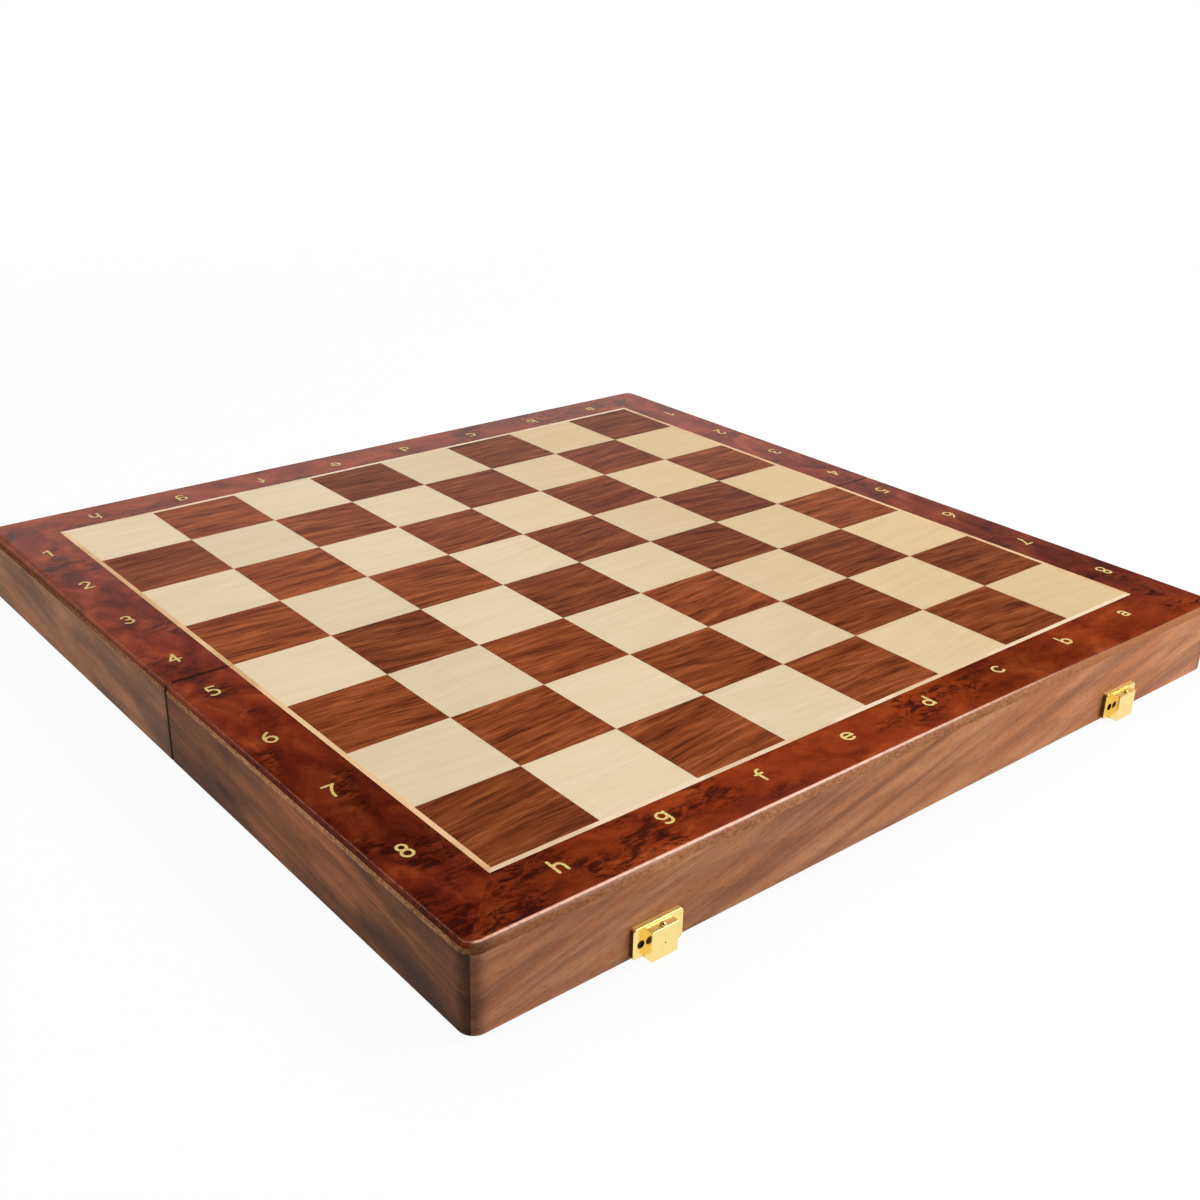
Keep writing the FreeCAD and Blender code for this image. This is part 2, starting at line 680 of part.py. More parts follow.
def glyph_node(label, glyphs):
    feature = doc.addObject("Part::Feature", label)
    feature.Shape = Part.makeCompound([solid for shape in glyphs for solid in shape.Solids])
    feature.Placement = FreeCAD.Placement(FreeCAD.Vector(0, 0, size("top_height")), FreeCAD.Rotation())
    return node(label, feature)


def build_coordinates():
    """Letters read from the near and far sides, numbers upright on the left and turned on the right."""
    columns = {letter: (n - (FILES - 1) / 2) * size("letter_pitch") for n, letter in enumerate("hgfedcba")}
    line = size("letter_line")
    shift = size("letter_shift")
    glyph_node("near_letters", [glyph(letter, x - shift, -line, False) for letter, x in columns.items()])
    glyph_node("far_letters", [glyph(letter, x + shift, line, True) for letter, x in columns.items()])
    line = size("number_line")
    shift = size("number_shift")
    for label, numbers, side in (("near_numbers", "5678", -1), ("far_numbers", "4321", 1)):
        glyphs = []
        for n, number in enumerate(numbers):
            y = side * (size("number_start") + n * size("number_pitch"))
            glyphs.append(glyph(number, -line, y + shift, False))
            glyphs.append(glyph(number, line, y - shift, True))
        glyph_node(label, glyphs)


# Build, test and write

def check_document():
    for thing in doc.Objects:
        if "Invalid" in thing.State or "Error" in thing.State:
            raise RuntimeError("%s failed: %s" % (thing.Name, thing.State))
    for thing in nodes:
        if thing.Shape.isNull() or not thing.Shape.isValid() or not thing.Shape.Solids:
            raise RuntimeError("%s has no valid solid" % thing.Label)


def write_parts():
    os.makedirs("parts", exist_ok=True)
    for thing in nodes:
        thing.Shape.exportStep("parts/%s.step" % thing.Label)
        print("%-26s %3d solids %12.2f mm3" % (thing.Label, len(thing.Shape.Solids), thing.Shape.Volume))


fill_sheet()
screws = build_hinges()
catch_nails = build_catches()
hasp_nails = build_hasps()
build_rails(screws, catch_nails, hasp_nails)
bed = build_panels()
build_border(bed)
build_stringing()
build_squares()
build_coordinates()
doc.recompute()
check_document()
write_parts()
print("%d nodes" % len(nodes))
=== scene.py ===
"""Dresses the folding chess board: its camera, light and floor, the finish of every piece, and the felt."""

import math

import bmesh
import bpy
from mathutils import Matrix, Vector, noise


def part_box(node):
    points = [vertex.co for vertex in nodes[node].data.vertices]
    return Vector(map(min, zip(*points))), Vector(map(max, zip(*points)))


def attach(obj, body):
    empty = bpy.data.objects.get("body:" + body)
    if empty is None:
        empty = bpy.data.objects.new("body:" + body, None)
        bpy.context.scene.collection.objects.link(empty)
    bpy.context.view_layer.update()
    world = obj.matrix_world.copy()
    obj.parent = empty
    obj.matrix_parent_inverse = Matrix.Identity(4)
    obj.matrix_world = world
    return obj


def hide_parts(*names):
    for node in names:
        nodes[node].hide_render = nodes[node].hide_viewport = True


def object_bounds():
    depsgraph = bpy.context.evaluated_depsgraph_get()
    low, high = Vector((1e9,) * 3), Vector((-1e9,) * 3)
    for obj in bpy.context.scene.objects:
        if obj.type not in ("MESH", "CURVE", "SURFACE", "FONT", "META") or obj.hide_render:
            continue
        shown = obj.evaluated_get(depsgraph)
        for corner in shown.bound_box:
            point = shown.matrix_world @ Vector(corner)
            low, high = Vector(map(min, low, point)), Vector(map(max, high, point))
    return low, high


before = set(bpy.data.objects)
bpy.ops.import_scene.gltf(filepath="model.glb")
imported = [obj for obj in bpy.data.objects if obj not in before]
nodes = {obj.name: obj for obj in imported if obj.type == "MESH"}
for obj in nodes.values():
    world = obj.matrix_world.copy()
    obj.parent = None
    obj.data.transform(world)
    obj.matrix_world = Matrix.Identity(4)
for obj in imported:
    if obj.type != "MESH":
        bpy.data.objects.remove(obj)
cad_low, cad_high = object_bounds()

# Sizes on the board, in millimetres: places are from its middle, and heights above the floor
MM_IN_METRE = 1000.0
SQUARE = 41.0
FIELD = 4 * SQUARE
BORDER_START = FIELD + 2.0
HALF_LENGTH = 191.0
NEAR_LEFT_CORNER = (-HALF_LENGTH, -HALF_LENGTH, 33.0)
CATCH_PLATE_FACE = HALF_LENGTH + 1.8
FAR_AWAY = 1000.0

# Places on the rounded arris, told by how far its surface faces up, from 0 on the wall to 1 on top. Each
# veneer starts at the first of its two places and is whole from the second.
GLUE_RIM = 0.46
# Where a thin pale highlight is painted along the shoulder of the rolled veneer at the left and right
SHOULDER_HIGHLIGHT = 0.82
# Where a pale highlight is painted along the long sides' arris
ARRIS_HIGHLIGHT_LINE = 0.84
OUTER_VENEER = (0.9, 0.94)
SIDE_VENEER = (0.34, 0.46)

# The camera of the picture, in metres and pixels
CAMERA_PLACE = Vector((-0.3689, -0.4557, 0.2799))
CAMERA_AHEAD = Vector((0.58487, 0.69937, -0.41087))
CAMERA_UP = Vector((0.24565, 0.33003, 0.91145))
CAMERA_REACH = (0.01, 100)
FOCAL_PIXELS = 1457.93
IMAGE_PIXELS = 1200
SENSOR_MM = 36.0

# The world: its light, and how its reflection goes from white to dark between two heights above the horizon
AMBIENT = 0.42
OVERHEAD = 0.03
WHITE_BELOW = 0.08
DARK_ABOVE = 0.3
BACKDROP_LEAN = 0.25

# The floor: its side in metres, its grey, how much of its shadow shows, and from where to where that fades
FLOOR_SIZE = 60.0
FLOOR_GREY = (0.86, 0.86, 0.86, 1)
SHADOW_KEPT = 0.06
SHADOW_REACH = (0.35, 1.1)

LAMPS = (
    # name, place, length along X and width, power in watts
    ("main_lamp", (0.975, -0.787, 1.306), (0.55, 0.55), 20.5),
    ("back_lamp", (0.89, 0.42, 1.26), (1.2, 1.0), 6.0),
    ("front_lamp", (0.75, -1.25, 0.75), (1.2, 1.2), 4.0),
    ("left_lamp", (-1.4, 0.3, 0.8), (0.8, 0.8), 7.0),
)

# The felt: a cell of its mesh and its pile in metres, the waves to a metre of its face and of its cut edge,
# and the share of its thickness by which its rim rolls up
FELT_CELL = 0.0045
FELT_PILE = 0.00012
FELT_FACE_WAVES = 260
FELT_EDGE_WAVES = 180
FELT_ROLL = 0.25

# The places of the colour sockets on a Mix node
COLOUR_A, COLOUR_B, COLOUR_RESULT = 6, 7, 2


def srgb(red, green, blue):
    """A colour of 0 to 255 as seen in a picture, turned into linear light."""
    def linear(level):
        share = level / 255
        return share / 12.92 if share <= 0.04045 else ((share + 0.055) / 1.055) ** 2.4
    return (linear(red), linear(green), linear(blue), 1.0)


# Walnut's figure: growth rings to a millimetre, how many of them they wander, and how strongly its marks show
RINGS_PER_MM = 0.11
RING_WANDER = 3.2
LATE_WOOD = 0.2
DARK_LINES = 0.56
FIBRE_CONTRAST = 0.18
GRAIN_CONTRAST = 0.26
PORE_SHADE = 0.72

# Walnut: pale, warm and dark
BROWN_WALNUT = (srgb(184, 124, 86), srgb(172, 108, 68), srgb(100, 62, 48))
DEEP_WALNUT = (srgb(138, 84, 54), srgb(158, 96, 58), srgb(62, 45, 36))
GREY_WALNUT = (srgb(168, 116, 82), srgb(174, 114, 76), srgb(98, 72, 58))

# Border veneer from dark to pale and its flecks, and where it rolls over the arris, a painted reflection and
# highlight
BRIGHT_VENEER = (srgb(96, 30, 13), srgb(128, 47, 18), srgb(143, 57, 22), srgb(162, 74, 31))
DEEP_VENEER = (srgb(78, 22, 9), srgb(104, 34, 14), srgb(124, 48, 21), srgb(146, 66, 32))
VENEER_STOPS = (0.28, 0.46, 0.6, 0.75)
VENEER_FLECK = srgb(44, 11, 7)
# The pale grey of a reflection painted on the rolled veneer, growing toward the far end of the sides
VENEER_PAINTED_VEIL = srgb(146, 98, 80)
# A highlight painted along the shoulder of the rolled veneer
VENEER_PAINTED_HIGHLIGHT = srgb(196, 132, 110)
GLUE_BROWN = srgb(58, 27, 14)

# The wood of the panel's edge, on the long sides and at the left and right
EDGE_TANS = ((0.3, srgb(136, 85, 57)), (0.5, srgb(162, 107, 75)), (0.7, srgb(182, 129, 95)))
EDGE_AT_RIGHT = srgb(166, 110, 72)
EDGE_AT_CORNER = srgb(112, 68, 40)
# The pale of a highlight painted along the long sides' arris
EDGE_PAINTED_HIGHLIGHT = srgb(240, 174, 142)
SIDE_EDGE_NEAR = srgb(170, 120, 86)
SIDE_EDGE_FAR = srgb(110, 68, 43)

# How far apart the squares are cut from their wood, in millimetres, and how far their grain tilts, in radians
CUT_APART = 900
CUT_TILT = 0.13

# Squares, stringing and inlay
DARK_SQUARE = (
    (0.28, srgb(86, 36, 19)),
    (0.44, srgb(122, 59, 31)),
    (0.58, srgb(140, 72, 39)),
    (0.75, srgb(164, 92, 52)),
)
LIGHT_SQUARE = ((0.2, srgb(207, 186, 153)), (0.5, srgb(213, 193, 160)), (0.8, srgb(219, 199, 168)))
# Tints that fade in over the squares toward the right of the board
DARK_RIGHT_TINT = (0.95, 0.96, 0.94, 1)
LIGHT_RIGHT_TINT = (0.9, 0.81, 0.7, 1)
PEACH_STRINGING = (srgb(222, 182, 140), srgb(204, 160, 116))
CREAM_STRINGING = (srgb(226, 201, 172), srgb(213, 182, 148))
INLAY_GOLD = ((0.3, srgb(190, 152, 78)), (0.5, srgb(222, 192, 110)), (0.7, srgb(238, 216, 146)))
INLAY_SIDE = srgb(70, 34, 14)

# Metals, bright and tarnished, and the painted shade on the cut edges of the latches' plates, for the dark
# they reflect
LATCH_GOLD = (srgb(252, 224, 146), srgb(236, 182, 88))
HINGE_BRASS = (srgb(232, 190, 104), srgb(180, 124, 52))
SCREW_BRASS = (srgb(214, 172, 96), srgb(150, 104, 48))
NAIL_BROWN = (srgb(74, 52, 36), srgb(30, 20, 14))
WIRE_STEEL = (srgb(196, 188, 176), srgb(140, 130, 116))
PLATE_EDGE_SHADE = srgb(70, 44, 20)

FELT_GREEN = ((0.3, srgb(18, 62, 42)), (0.5, srgb(26, 88, 58)), (0.75, srgb(52, 120, 84)))

# Darker places along a rail or border: the middle, half of the length, and how far it fades, in millimetres
NEAR_RAIL_STAINS = ((-26, 18, 30), (-182, 6, 34))
FAR_RAIL_STAINS = ((6, 4, 26),)
NEAR_BORDER_SMUDGES = ((-165, 15, 30), (72, 12, 40))
SIDE_BORDER_SMUDGES = ((-110, 18, 40),)

SIDE_RAILS = (
    # name, tones, place in the wood, stains
    ("near_left_rail", DEEP_WALNUT, 12.0, NEAR_RAIL_STAINS),
    ("far_left_rail", GREY_WALNUT, 31.0, FAR_RAIL_STAINS),
    ("near_right_rail", DEEP_WALNUT, 71.0, NEAR_RAIL_STAINS),
    ("far_right_rail", GREY_WALNUT, 93.0, FAR_RAIL_STAINS),
)


class Nodes:
    """A node tree in the making. Its methods add nodes, and most return the socket with their result."""

    def __init__(self, tree):
        self.tree = tree

    def node(self, kind, inputs=None, **settings):
        """A new node. Its inputs are named by name or number, and each takes a value or a socket to link."""
        made = self.tree.nodes.new("ShaderNode" + kind)
        for name, value in settings.items():
            setattr(made, name, value)
        for key, value in (inputs or {}).items():
            self.put(made.inputs[key], value)
        return made

    def put(self, socket, value):
        if isinstance(value, bpy.types.NodeSocket):
            self.tree.links.new(value, socket)
        else:
            socket.default_value = value

    def math(self, operation, *values):
        return self.node("Math", dict(enumerate(values)), operation=operation).outputs[0]

    def times(self, first, second):
        return self.math("MULTIPLY", first, second)

    def unsigned(self, value):
        return self.math("ABSOLUTE", value)

    def vector(self, operation, *values):
        return self.node("VectorMath", dict(enumerate(values)), operation=operation).outputs[0]

    def length(self, where):
        return self.node("VectorMath", {0: where}, operation="LENGTH").outputs["Value"]

    def fade(self, value, start, end, low=0.0, high=1.0):
        """Low where the value is at start, high where it is at end, and smooth between."""
        inputs = {"Value": value, "From Min": start, "From Max": end, "To Min": low, "To Max": high}
        return self.node("MapRange", inputs, interpolation_type="SMOOTHSTEP").outputs[0]

    def finish_with(self, output, share, first, second):
        """Sends two shaders to the tree's output, mixed by the share of the second."""
        both = self.node("MixShader", {0: share, 1: first, 2: second})
        self.put(self.tree.nodes[output].inputs["Surface"], both.outputs[0])


class Finish(Nodes):
    """A material in the making, whose coordinates are in millimetres on the board."""

    def __init__(self, name, **sockets):
        self.material = bpy.data.materials.new(name)
        self.material.use_nodes = True
        super().__init__(self.material.node_tree)
        self.shader = self.tree.nodes["Principled BSDF"]
        for socket, value in sockets.items():
            self.shader.inputs[socket.replace("_", " ")].default_value = value
        in_metres = self.node("TexCoord").outputs["Object"]
        self.here = self.vector("MULTIPLY", in_metres, (MM_IN_METRE, MM_IN_METRE, MM_IN_METRE))
        self.x, self.y, self.z = self.parts(self.here)

    def parts(self, where):
        return self.node("SeparateXYZ", {0: where}).outputs

    def facing(self):
        """The parts along X, Y and Z of the direction that the surface faces."""
        return self.parts(self.node("NewGeometry").outputs["Normal"])

    def past_corner(self):
        """How far a place lies past the corners' mitres: above 0 at the sides, below 0 at the long sides."""
        return self.math("SUBTRACT", self.unsigned(self.x), self.unsigned(self.y))

    def turned(self, where, axis, angle):
        inputs = {"Vector": where, "Axis": axis, "Angle": angle}
        return self.node("VectorRotate", inputs, rotation_type="AXIS_ANGLE").outputs[0]

    def stretched(self, where, sizes, shift=(0, 0, 0)):
        """Coordinates whose unit is the given size along each axis, in millimetres, moved by a shift."""
        scaled = self.vector("MULTIPLY", where, tuple(1 / size for size in sizes))
        return self.vector("ADD", scaled, shift)

    def noise(self, where, detail=2.0, roughness=0.5, distortion=0.0):
        inputs = {"Vector": where, "Scale": 1.0, "Detail": detail, "Roughness": roughness,
                  "Distortion": distortion}
        return self.node("TexNoise", inputs).outputs[0]

    def patches(self, where, start, end, **texture):
        """Soft patches: 0 where a noise is at start and 1 where it is at end."""
        return self.fade(self.noise(where, **texture), start, end)

    def random(self, where):
        return self.node("TexWhiteNoise", {"Vector": where}, noise_dimensions="3D")

    def line(self, value, place, half_width, softness):
        """1 on the line where the value is at its place, and 0 away from it."""
        away = self.unsigned(self.math("SUBTRACT", value, place))
        return self.fade(away, half_width + softness, half_width)

    def between(self, value, low, high):
        """A value of 0 to 1 spread from low to high."""
        return self.node("MapRange", {"Value": value, "To Min": low, "To Max": high}).outputs[0]

    def ramp(self, value, *stops):
        made = self.node("ValToRGB", {0: value})
        elements = made.color_ramp.elements
        while len(elements) < len(stops):
            elements.new(0.5)
        for element, (position, colour) in zip(elements, stops):
            element.position = position
            element.color = colour
        return made.outputs[0]

    def mix(self, share, first, second, blend="MIX"):
        made = self.node("Mix", data_type="RGBA", blend_type=blend)
        self.put(made.inputs["Factor"], share)
        self.put(made.inputs[COLOUR_A], first)
        self.put(made.inputs[COLOUR_B], second)
        return made.outputs[COLOUR_RESULT]

    def shaded(self, colour, factor):
        """A colour made darker or lighter by a factor that is 1 where it stays."""
        return self.node("VectorMath", {0: colour, 3: factor}, operation="SCALE").outputs[0]

    def varied(self, colour, value, low, high):
        """A colour shaded by the factor low where the value is 0 and high where it is 1."""
        return self.shaded(colour, self.between(value, low, high))

    def speckled(self, colour, value, contrast):
        """A colour made darker and lighter by the contrast, after a value from 0 to 1."""
        return self.varied(colour, value, 1 - contrast, 1 + contrast)

    def drifting(self, colour, along, first, last):
        """A colour shaded by a factor that goes from first to last over the whole length of the board."""
        inputs = {"Value": along, "From Min": -HALF_LENGTH, "From Max": HALF_LENGTH, "To Min": first,
                  "To Max": last}
        return self.shaded(colour, self.node("MapRange", inputs).outputs[0])

    def seam_shade(self, colour):
        """A colour with painted shade where the two halves meet on the outside of a side wall: a dark line in
        the gap and a softer darkening beside it.
        """
        outside = self.fade(self.unsigned(self.x), HALF_LENGTH - 1.2, HALF_LENGTH - 0.9)
        seam = self.times(outside, self.line(self.y, 0.0, half_width=0.6, softness=0.5))
        near_seam = self.times(outside, self.line(self.y, 0.0, half_width=0.6, softness=4.0))
        return self.varied(self.varied(colour, near_seam, 1.0, 0.8), seam, 1.0, 0.2)

    def colour(self, socket):
        self.put(self.shader.inputs["Base Color"], socket)

    def roughness(self, value, low, high):
        """Roughness between low and high, after a value from 0 to 1."""
        self.put(self.shader.inputs["Roughness"], self.between(value, low, high))

    def bump(self, height, depth_mm, strength):
        inputs = {"Height": height, "Distance": depth_mm / MM_IN_METRE, "Strength": strength}
        self.put(self.shader.inputs["Normal"], self.node("Bump", inputs).outputs[0])


def lacquer(share, roughness):
    """The sockets of a clear coat over wood, from 0, bare, to 1, thick and glossy."""
    return {"Coat_Weight": share, "Coat_Roughness": roughness, "Coat_IOR": 1.45, "Specular_IOR_Level": 0.0}


def mitre_shade(made, tone):
    """A tone with painted shade toward the corners of the case, for the dark that the rounded corners
    reflect, and a thin dark line on the mitre joint itself. The seam rails cross the middle of the board,
    where no mitre is, so they are left as they are."""
    in_field = made.math("LESS_THAN", made.unsigned(made.x), FIELD)
    mitre = made.math("MULTIPLY_ADD", in_field, FAR_AWAY, made.past_corner())
    # Painted shade toward the corner, for the dark that the rounded corner reflects
    corner_darkness = made.line(mitre, 0.0, half_width=0.8, softness=8.0)
    joint = made.line(mitre, 0.0, half_width=0.12, softness=0.4)
    return made.varied(made.varied(tone, corner_darkness, 1.0, 0.46), joint, 1.0, 0.55)


def walnut(name, along, tones, shift, slope=0.0, smoke=0.0, broad=0.28, fine=1.0, gloss=0.3, drift=(1.0, 1.0),
           stains=()):
    """Solid walnut whose grain runs along X or Y, at a slope to it in degrees. It has some cathedral figure,
    broad bands, thin dark lines in bundles, smoky clouds, fibre and pores, and broad, fine and smoke say how
    strongly they show. Its tone drifts from one end of the board to the other. Stains are darker places."""
    pale, warm, dark = tones
    made = Finish(name, **lacquer(gloss, 0.1))
    lengthwise = along == "x"
    grain = made.turned(made.here, (0, 1, 0) if lengthwise else (1, 0, 0), math.radians(slope))

    def fibres(length, width, offset):
        """Coordinates of a figure of this length and width in millimetres, at its own place in the wood."""
        sizes = (length, width, width) if lengthwise else (width, length, width)
        return made.stretched(grain, sizes, (shift + offset, shift * 0.7, offset))

    wander = made.noise(fibres(120, 20, 3), detail=1)
    rings = made.math("ADD", made.times(made.z, RINGS_PER_MM), made.times(wander, RING_WANDER))
    late_wood = made.fade(made.math("FRACT", rings), 0.3, 0.9)
    warmth = made.patches(fibres(60, 9, 11), 0.38, 0.66)
    clouds = made.patches(fibres(64, 15, 23), 0.36, 0.68, detail=3, distortion=0.5)
    bands = made.patches(fibres(110, 5.0, 17), 0.44, 0.7)
    bundles = made.patches(fibres(100, 7, 29), 0.36, 0.56, detail=1)
    lines = made.patches(fibres(60, 1.25, 37), 0.45, 0.63, detail=3, roughness=0.7)
    fibre = made.noise(fibres(14, 0.6, 5), detail=3, roughness=0.65)
    grains = made.noise(fibres(2.2, 0.6, 47), detail=3, roughness=0.75)
    pores = made.patches(fibres(4.0, 0.35, 31), 0.55, 0.72, detail=1)

    tone = made.mix(warmth, pale, warm)
    tone = made.mix(made.times(late_wood, LATE_WOOD), tone, dark)
    tone = made.mix(made.times(bands, broad), tone, dark)
    tone = made.mix(made.times(made.times(lines, bundles), DARK_LINES * fine), tone, dark)
    tone = made.mix(made.times(clouds, smoke), tone, dark)
    tone = made.speckled(tone, fibre, FIBRE_CONTRAST * fine)
    tone = made.speckled(tone, grains, GRAIN_CONTRAST)
    tone = made.varied(tone, pores, 1.0, PORE_SHADE)
    place = made.x if lengthwise else made.y
    for stain in stains:
        smudge = made.times(made.line(place, *stain), made.between(clouds, 0.35, 0.8))
        tone = made.mix(smudge, tone, dark)
    tone = made.drifting(tone, place, *drift)
    made.colour(made.seam_shade(mitre_shade(made, tone)))
    made.roughness(fibre, 0.34, 0.5)
    made.bump(made.math("SUBTRACT", fibre, pores), 0.05, 0.35)
    return made.material


def dark_figure(made, shift, spread):
    """1 on the dark flames and flecks of the veneer, most of which lie at the near left corner."""
    from_corner = made.length(made.vector("SUBTRACT", made.here, NEAR_LEFT_CORNER))
    near_corner = made.fade(from_corner, start=120, end=40)
    clusters = made.math("ADD", made.noise(spread(17, 17), detail=1), made.times(near_corner, 0.14))
    flame_places = made.stretched(made.here, (7.5, 3.4, 40), (shift, 31, 5))
    flames = made.patches(flame_places, 0.43, 0.6, detail=5, roughness=0.66, distortion=0.9)
    fleck_places = made.stretched(made.here, (2.6, 1.3, 40), (shift, 1, 5))
    flecks = made.patches(fleck_places, 0.52, 0.68, detail=3, roughness=0.6, distortion=0.7)
    return made.times(made.fade(clusters, 0.52, 0.66), made.math("MAXIMUM", flames, flecks))


def veneer(made, along, tones, smudges):
    """The colour of deep red-brown figured veneer with dark flames and flecks, and the values of its curl and
    fibre. Its tone drifts along it, and smudges are darker places."""
    lengthwise = along == "x"
    shift = 3.0 if lengthwise else 37.0
    stretch_x, stretch_y = (2.0, 1.0) if lengthwise else (1.0, 1.6)

    def spread(size, offset=0.0):
        """Coordinates of a figure of this size in millimetres, drawn out along the veneer."""
        return made.stretched(made.here, (size * stretch_x, size * stretch_y, 40), (shift, offset, 5))

    cloud = made.noise(spread(13), detail=3, roughness=0.55, distortion=0.8)
    curl = made.noise(spread(5, 9), detail=3, distortion=1.4)
    across = made.turned(made.here, (0, 0, 1), 0.9)
    fibre = made.noise(made.stretched(across, (6, 0.4, 6)), detail=3)
    tone = made.ramp(cloud, *zip(VENEER_STOPS, tones))
    tone = made.varied(tone, made.fade(curl, 0.45, 0.7), 1.05, 0.8)
    tone = made.mix(made.times(dark_figure(made, shift, spread), 0.84), tone, VENEER_FLECK)
    tone = made.speckled(tone, fibre, FIBRE_CONTRAST)
    if lengthwise:
        place = made.x
        tone = made.drifting(tone, place, 1.0, 0.86)
    else:
        place = made.y
        tone = made.drifting(tone, place, 0.9, 1.3)
    for smudge in smudges:
        tone = made.varied(tone, made.line(place, *smudge), 1.0, 0.7)
    return tone, curl, fibre


def border_veneer(name, along, tones, smudges=()):
    """Figured veneer with a dark joint line along the stringing, and a dark line of painted shade at the seam
    between the halves.
    """
    made = Finish(name, **lacquer(0.5, 0.07))
    tone, curl, fibre = veneer(made, along, tones, smudges)
    # Painted shade in the seam between the halves
    seam = made.line(made.y, 0.0, half_width=0.5, softness=1.0)
    reach = made.math("MAXIMUM", made.unsigned(made.x), made.unsigned(made.y))
    joint = made.line(reach, BORDER_START, half_width=0.12, softness=0.25)
    made.colour(made.varied(made.varied(tone, seam, 1.0, 0.35), joint, 1.0, 0.45))
    made.roughness(curl, 0.3, 0.44)
    made.bump(fibre, 0.03, 0.25)
    return made.material


class PanelEdge(Finish):
    """The rounded edge of the top panel: tan, finely speckled wood, with the veneer rolled over its shoulder.
    Side is 1 at the left and right and 0 on the long sides. The corner darkness is 1 at the corners, dark
    from hands."""

    def __init__(self, name):
        super().__init__(name, **lacquer(1.0, 0.38))
        past_corner = self.past_corner()
        self.side = self.fade(past_corner, -2.5, 1.0)
        self.corner_darkness = self.line(past_corner, -1.0, half_width=3.0, softness=8.0)
        self.rightward = self.fade(self.x, 20, 150)
        self.upward = self.facing()[2]
        self.mottle = self.noise(self.stretched(self.here, (1.6, 1.6, 0.9)), detail=3, roughness=0.6)

    def long_side_wood(self):
        """Tan wood in pale and darker patches, plainer to the right and browner toward the left corner."""
        patches = self.patches(self.stretched(self.here, (28, 28, 12), (7, 3, 1)), 0.35, 0.68)
        tone = self.ramp(self.mottle, *EDGE_TANS)
        tone = self.mix(patches, tone, self.shaded(tone, 0.82))
        tone = self.mix(self.times(self.rightward, 0.75), tone, EDGE_AT_RIGHT)
        leftward = self.fade(self.x, -120, -180)
        return self.mix(self.times(leftward, 0.6), tone, EDGE_AT_CORNER)

    def side_wood(self):
        """Mottled wood that is palest a little way behind the near corner and browner toward the far one."""
        tone = self.mix(self.fade(self.y, -110, 160), SIDE_EDGE_NEAR, SIDE_EDGE_FAR)
        tone = self.varied(tone, self.fade(self.y, -110, -170), 1.0, 0.74)
        return self.varied(tone, self.fade(self.mottle, 0.38, 0.6), 0.56, 1.12)

    def painted_arris_highlight(self, tone):
        """A tone with a pale line painted along the long sides' arris as a highlight, fading toward the
        right.
        """
        share = self.line(self.upward, ARRIS_HIGHLIGHT_LINE, half_width=0.03, softness=0.07)
        share = self.times(share, self.fade(self.x, 130, -40))
        share = self.times(share, self.between(self.side, 0.85, 0.0))
        share = self.times(share, self.between(self.fade(self.mottle, 0.3, 0.6), 0.55, 1.0))
        return self.mix(share, tone, EDGE_PAINTED_HIGHLIGHT)

    def side_veneer(self):
        """The veneer rolled over at the left and right, with a pale grey reflection painted on it that grows
        toward the far end, the glue's dark line along its rim, and a thin highlight painted along its
        shoulder."""
        tone = veneer(self, "y", DEEP_VENEER, SIDE_BORDER_SMUDGES)[0]
        # A pale grey reflection painted on, growing toward the far end
        painted_veil = self.between(self.fade(self.y, -110, 150), 0.0, 0.36)
        tone = self.mix(painted_veil, tone, VENEER_PAINTED_VEIL)
        glue_line = self.line(self.upward, GLUE_RIM, half_width=0.03, softness=0.1)
        tone = self.mix(self.times(glue_line, 0.6), tone, GLUE_BROWN)
        # A thin pale highlight painted along the shoulder
        shoulder = self.line(self.upward, SHOULDER_HIGHLIGHT, half_width=0.012, softness=0.05)
        shoulder = self.times(shoulder, self.fade(self.mottle, 0.3, 0.6))
        return self.mix(self.times(shoulder, 0.34), tone, VENEER_PAINTED_HIGHLIGHT)

    def covered(self):
        """1 where the veneer covers the edge, further down at the left and right than on the long sides."""
        on_outer = self.fade(self.math("ADD", self.upward, self.times(self.rightward, 0.2)), *OUTER_VENEER)
        on_side = self.fade(self.upward, *SIDE_VENEER)
        on_outer = self.times(on_outer, self.math("SUBTRACT", 1.0, self.side))
        return self.math("ADD", on_outer, self.times(on_side, self.side))

    def coat(self):
        """The share of lacquer. It is thick on the arris of the long sides, and reaches lower near the left
        corner. It is thin at the sides, on the corners, toward the right and where the veneer starts."""
        raised = self.math("MULTIPLY_ADD", self.fade(self.x, -70, -150), 0.16, self.upward)
        share = self.times(self.fade(raised, 0.6, 0.78), self.between(self.side, 1.0, 0.2))
        share = self.times(share, self.between(self.corner_darkness, 1.0, 0.3))
        share = self.times(share, self.between(self.fade(self.upward, *OUTER_VENEER), 1.0, 0.05))
        return self.times(share, self.between(self.fade(self.x, -20, 150), 1.0, 0.1))


def panel_edge(name, outer_smudges):
    """The panel's edge with the veneer of its long side and that of its left and right sides."""
    made = PanelEdge(name)
    specks = made.noise(made.stretched(made.here, (0.6, 0.6, 0.4), (3, 3, 3)))
    tone = made.mix(made.side, made.long_side_wood(), made.side_wood())
    tone = made.varied(tone, specks, 0.78, 1.2)
    tone = made.varied(tone, made.corner_darkness, 1.0, 0.52)
    # A highlight painted along the arris
    tone = made.painted_arris_highlight(tone)
    outer_veneer = veneer(made, "x", BRIGHT_VENEER, outer_smudges)[0]
    rolled = made.mix(made.side, outer_veneer, made.side_veneer())
    tone = made.mix(made.covered(), tone, rolled)
    made.colour(made.seam_shade(tone))
    made.put(made.shader.inputs["Coat Weight"], made.coat())
    made.roughness(made.mottle, 0.3, 0.44)
    made.bump(made.mottle, 0.02, 0.2)
    return made.material


